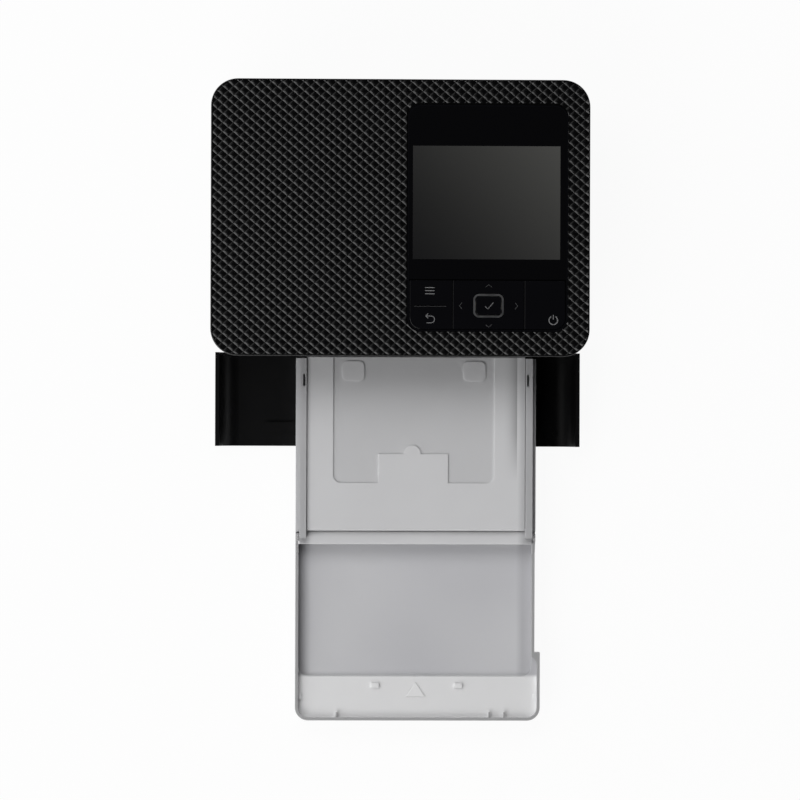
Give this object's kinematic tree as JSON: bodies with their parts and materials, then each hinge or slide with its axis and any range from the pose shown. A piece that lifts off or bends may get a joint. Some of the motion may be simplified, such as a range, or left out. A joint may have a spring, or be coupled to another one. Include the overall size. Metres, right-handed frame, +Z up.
{
  "type": "compact photo printer",
  "caption": "Flat photo printer with a relief-patterned cover, a glossy key panel, a folded-down front cover and a milky paper cassette with its lid folded out.",
  "frame": {"origin": "on the desk, under the middle of the whole object as it stands, with cassette and lid out in front", "axes": "+X to the right seen from the front, +Y to the back, +Z up"},
  "size_m": [0.1822, 0.3116, 0.0578],
  "materials": {
    "black_grain": "fine relief, satin",
    "black_satin": "satin",
    "black_gloss": "polished",
    "milky_grey": "frosted, clouded",
    "dark_rubber": "ground",
    "bright_steel": "ground",
    "zinc_plate": "zinc plated sheet",
    "natural_nylon": "moulded",
    "bronze": "sintered",
    "sink_aluminium": "extruded",
    "head_ceramic": "glazed bead",
    "board_green": "solder mask",
    "grey_shell": "moulded",
    "ink_film": "thin film",
    "ring_chrome": "plated",
    "screen_dark": "anti-glare",
    "plated_shell": "nickel plated"
  },
  "bodies": {
    "printer_body": {"lower_housing": "black_satin", "top_cover": "black_grain", "front_bezel": "black_satin", "rubber_feet": "dark_rubber", "case_screws": "bright_steel", "hinge_pins": "bright_steel", "left_side_plate": "zinc_plate", "right_side_plate": "zinc_plate", "chassis_bridge": "zinc_plate", "paper_guides": "zinc_plate", "shaft_bushes": "bronze", "gear_plate": "zinc_plate", "feed_motor": "plated_shell", "ribbon_motor": "plated_shell", "fan_housing": "black_satin", "panel_frame": "black_gloss", "panel_lens": "black_gloss", "lcd_module": "screen_dark", "key_board": "board_green", "keypad_membrane": "dark_rubber", "main_board": "board_green", "io_board": "board_green", "card_slot": "plated_shell", "usb_port": "plated_shell", "power_inlet": "black_satin"},
    "front_cover": {"front_cover": "black_satin"},
    "cassette": {"cassette_tray": "milky_grey"},
    "lift_plate": {"lift_plate": "milky_grey"},
    "inner_lid": {"cassette_inner_lid": "milky_grey"},
    "outer_lid": {"cassette_outer_lid": "milky_grey"},
    "capstan": {"capstan_roller": "bright_steel"},
    "pinch": {"pinch_roller": "bright_steel"},
    "platen": {"platen_roller": "dark_rubber"},
    "pick": {"pick_roller": "bright_steel", "pick_tyres": "dark_rubber"},
    "eject": {"eject_roller": "bright_steel"},
    "eject_pinch": {"eject_pinch_roller": "natural_nylon"},
    "idler_a": {"idler_gear_a": "natural_nylon"},
    "idler_b": {"idler_gear_b": "natural_nylon"},
    "idler_c": {"idler_gear_c": "natural_nylon"},
    "idler_d": {"idler_gear_d": "natural_nylon"},
    "feed_pinion": {"feed_pinion": "bronze"},
    "ribbon_pinion": {"ribbon_pinion": "bronze"},
    "takeup_spindle": {"takeup_spindle": "natural_nylon"},
    "fan_rotor": {"fan_rotor": "black_satin"},
    "cartridge": {"cartridge_case": "grey_shell", "ink_ribbon": "ink_film"},
    "supply_spool": {"supply_spool": "natural_nylon"},
    "takeup_spool": {"takeup_spool": "natural_nylon"},
    "thermal_head": {"thermal_head": "head_ceramic", "heat_sink": "sink_aluminium"},
    "head_cam": {"head_cam": "natural_nylon"},
    "ink_door": {"ink_door": "black_satin"},
    "cartridge_lever": {"cartridge_lever": "grey_shell"},
    "rocker_key": {"rocker_key": "black_gloss"},
    "pad_gimbal": {"pad_gimbal": "natural_nylon"},
    "pad": {"pad_key": "black_gloss", "centre_ring": "ring_chrome"},
    "centre_key": {"centre_key": "black_gloss"},
    "power_key": {"power_key": "black_gloss"}
  },
  "joints": [
    {"name": "front_cover_hinge", "type": "hinge", "parent": "printer_body", "child": "front_cover", "pos_m": [0, 0.02535, 0.0021], "axis": [-1, 0, 0], "range_deg": [0, 6]},
    {"name": "cassette_slide", "type": "slide", "parent": "printer_body", "child": "cassette", "axis": [0, -1, 0], "range_m": [0, 0.095]},
    {"name": "lift_plate_hinge", "type": "hinge", "parent": "cassette", "child": "lift_plate", "pos_m": [0.0088, 0.04925, 0.0122], "axis": [1, 0, 0], "range_deg": [0, 3]},
    {"name": "inner_lid_hinge", "type": "hinge", "parent": "cassette", "child": "inner_lid", "pos_m": [0.0088, -0.06115, 0.0228], "axis": [1, 0, 0], "range_deg": [0, 95]},
    {"name": "outer_lid_hinge", "type": "hinge", "parent": "cassette", "child": "outer_lid", "pos_m": [0.0088, -0.06575, 0.0182], "axis": [1, 0, 0], "range_deg": [-150, 0]},
    {"name": "capstan_spin", "type": "hinge", "parent": "printer_body", "child": "capstan", "pos_m": [0.0088, 0.14325, 0.02485], "axis": [1, 0, 0], "continuous": true},
    {"name": "pinch_spin", "type": "hinge", "parent": "printer_body", "child": "pinch", "pos_m": [0.0088, 0.14325, 0.03115], "axis": [1, 0, 0], "continuous": true},
    {"name": "platen_spin", "type": "hinge", "parent": "printer_body", "child": "platen", "pos_m": [0.0088, 0.10625, 0.02385], "axis": [1, 0, 0], "continuous": true},
    {"name": "pick_spin", "type": "hinge", "parent": "printer_body", "child": "pick", "pos_m": [0.0088, 0.09325, 0.0215], "axis": [1, 0, 0], "continuous": true},
    {"name": "eject_spin", "type": "hinge", "parent": "printer_body", "child": "eject", "pos_m": [0.0088, 0.04425, 0.02385], "axis": [1, 0, 0], "continuous": true},
    {"name": "eject_pinch_spin", "type": "hinge", "parent": "printer_body", "child": "eject_pinch", "pos_m": [0.0088, 0.04425, 0.03115], "axis": [1, 0, 0], "continuous": true},
    {"name": "idler_a_spin", "type": "hinge", "parent": "printer_body", "child": "idler_a", "pos_m": [-0.0572, 0.12746, 0.0191], "axis": [1, 0, 0], "continuous": true},
    {"name": "idler_b_spin", "type": "hinge", "parent": "printer_body", "child": "idler_b", "pos_m": [-0.0572, 0.10872, 0.01495], "axis": [1, 0, 0], "continuous": true},
    {"name": "idler_c_spin", "type": "hinge", "parent": "printer_body", "child": "idler_c", "pos_m": [-0.0572, 0.07671, 0.01858], "axis": [1, 0, 0], "continuous": true},
    {"name": "idler_d_spin", "type": "hinge", "parent": "printer_body", "child": "idler_d", "pos_m": [-0.0572, 0.06035, 0.02864], "axis": [1, 0, 0], "continuous": true},
    {"name": "feed_pinion_spin", "type": "hinge", "parent": "printer_body", "child": "feed_pinion", "pos_m": [-0.0572, 0.10636, 0.02834], "axis": [1, 0, 0], "continuous": true},
    {"name": "takeup_spindle_spin", "type": "hinge", "parent": "printer_body", "child": "takeup_spindle", "pos_m": [-0.0572, 0.12925, 0.0385], "axis": [1, 0, 0], "continuous": true},
    {"name": "ribbon_pinion_spin", "type": "hinge", "parent": "printer_body", "child": "ribbon_pinion", "pos_m": [-0.0572, 0.13826, 0.0437], "axis": [1, 0, 0], "continuous": true},
    {"name": "fan_spin", "type": "hinge", "parent": "printer_body", "child": "fan_rotor", "pos_m": [-0.0877, 0.06425, 0.025], "axis": [1, 0, 0], "continuous": true},
    {"name": "ink_door_hinge", "type": "hinge", "parent": "printer_body", "child": "ink_door", "pos_m": [0.0887, 0.10625, 0.0095], "axis": [0, -1, 0], "range_deg": [-90, 0]},
    {"name": "cartridge_slide", "type": "slide", "parent": "printer_body", "child": "cartridge", "axis": [1, 0, 0], "range_m": [0, 0.0361]},
    {"name": "supply_spool_spin", "type": "hinge", "parent": "cartridge", "child": "supply_spool", "pos_m": [0.0088, 0.08325, 0.0385], "axis": [1, 0, 0], "continuous": true},
    {"name": "takeup_spool_spin", "type": "hinge", "parent": "cartridge", "child": "takeup_spool", "pos_m": [0.0088, 0.12925, 0.0385], "axis": [1, 0, 0], "continuous": true},
    {"name": "head_cam_turn", "type": "hinge", "parent": "printer_body", "child": "head_cam", "pos_m": [-0.0592, 0.10625, 0.046], "axis": [1, 0, 0], "range_deg": [0, 120]},
    {"name": "thermal_head_slide", "type": "slide", "parent": "printer_body", "child": "thermal_head", "axis": [0, 0, -1], "range_m": [0, 0.0046], "stiffness_N_per_m": 100, "springref_m": -0.004},
    {"name": "cartridge_lever_swing", "type": "hinge", "parent": "printer_body", "child": "cartridge_lever", "pos_m": [0.0658, 0.07625, 0.019], "axis": [1, 0, 0], "range_deg": [0, 12], "stiffness_Nm_per_rad": 0.02},
    {"name": "rocker_tilt", "type": "hinge", "parent": "printer_body", "child": "rocker_key", "pos_m": [0.015, 0.0471, 0.05585], "axis": [1, 0, 0], "range_deg": [-1, 1], "stiffness_Nm_per_rad": 0.5},
    {"name": "gimbal_tilt", "type": "hinge", "parent": "printer_body", "child": "pad_gimbal", "pos_m": [0.04235, 0.0471, 0.0548], "axis": [0, 1, 0], "range_deg": [-0.8, 0.8], "stiffness_Nm_per_rad": 0.5},
    {"name": "pad_tilt", "type": "hinge", "parent": "pad_gimbal", "child": "pad", "pos_m": [0.04235, 0.0471, 0.0548], "axis": [1, 0, 0], "range_deg": [-0.8, 0.8], "stiffness_Nm_per_rad": 0.5},
    {"name": "centre_key_press", "type": "slide", "parent": "printer_body", "child": "centre_key", "axis": [0, 0, -1], "range_m": [0, 0.00035], "stiffness_N_per_m": 300, "springref_m": -0.0005},
    {"name": "power_key_press", "type": "slide", "parent": "printer_body", "child": "power_key", "axis": [0, 0, -1], "range_m": [0, 0.00035], "stiffness_N_per_m": 300, "springref_m": -0.0005}
  ],
  "couplings": [
    {"joint": "idler_a_spin", "follows": "capstan_spin", "ratio": -0.75},
    {"joint": "idler_b_spin", "follows": "capstan_spin", "ratio": 0.75},
    {"joint": "pick_spin", "follows": "capstan_spin", "ratio": -1},
    {"joint": "idler_c_spin", "follows": "capstan_spin", "ratio": 0.75},
    {"joint": "idler_d_spin", "follows": "capstan_spin", "ratio": -0.75},
    {"joint": "eject_spin", "follows": "capstan_spin", "ratio": 1},
    {"joint": "feed_pinion_spin", "follows": "capstan_spin", "ratio": -1.8},
    {"joint": "pinch_spin", "follows": "capstan_spin", "ratio": -1},
    {"joint": "platen_spin", "follows": "capstan_spin", "ratio": 0.75},
    {"joint": "eject_pinch_spin", "follows": "capstan_spin", "ratio": -1.3333},
    {"joint": "ribbon_pinion_spin", "follows": "takeup_spindle_spin", "ratio": -1.6},
    {"joint": "takeup_spool_spin", "follows": "takeup_spindle_spin", "ratio": 1},
    {"joint": "cartridge_slide", "follows": "ink_door_hinge", "m_per_rad": -0.022918},
    {"joint": "head_cam_turn", "follows": "thermal_head_slide", "rad_per_m": 455.3}
  ]
}
